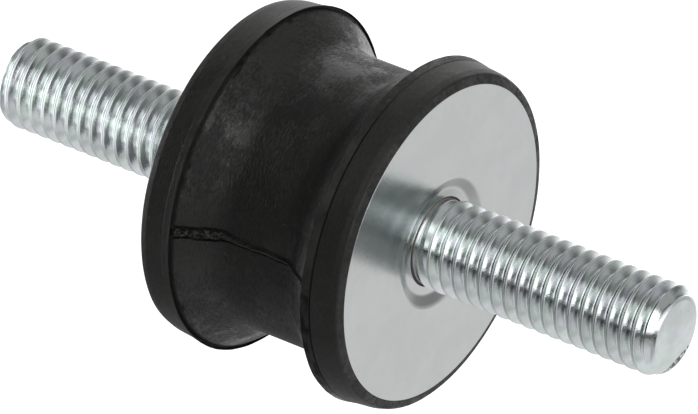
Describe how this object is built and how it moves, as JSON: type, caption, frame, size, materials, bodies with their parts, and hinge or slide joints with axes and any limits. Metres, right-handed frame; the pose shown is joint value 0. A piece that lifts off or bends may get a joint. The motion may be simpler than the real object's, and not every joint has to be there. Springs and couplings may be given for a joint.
{
  "type": "bobbin vibration mount",
  "caption": "Waisted black rubber bobbin moulded between two inset steel plates, with an M8 threaded stud standing out of each end.",
  "frame": {"origin": "on the axis, at the centre of the lower plate's outer face, where the lower stud leaves it", "axes": "+Z along the axis towards the upper stud; the rubber's two moulded parting ridges lie at +X and -X"},
  "size_m": [0.03, 0.03, 0.066],
  "materials": {
    "rubber": "matt moulded natural rubber, slightly streaky, with mould parting lines",
    "plate_steel": "bright zinc plated flat steel, softly clouded",
    "stud_steel": "bright zinc plated rolled thread"
  },
  "bodies": {
    "root": {"rubber_body": "rubber", "lower_plate": "plate_steel", "upper_plate": "plate_steel", "lower_stud": "stud_steel", "upper_stud": "stud_steel"}
  },
  "joints": []
}
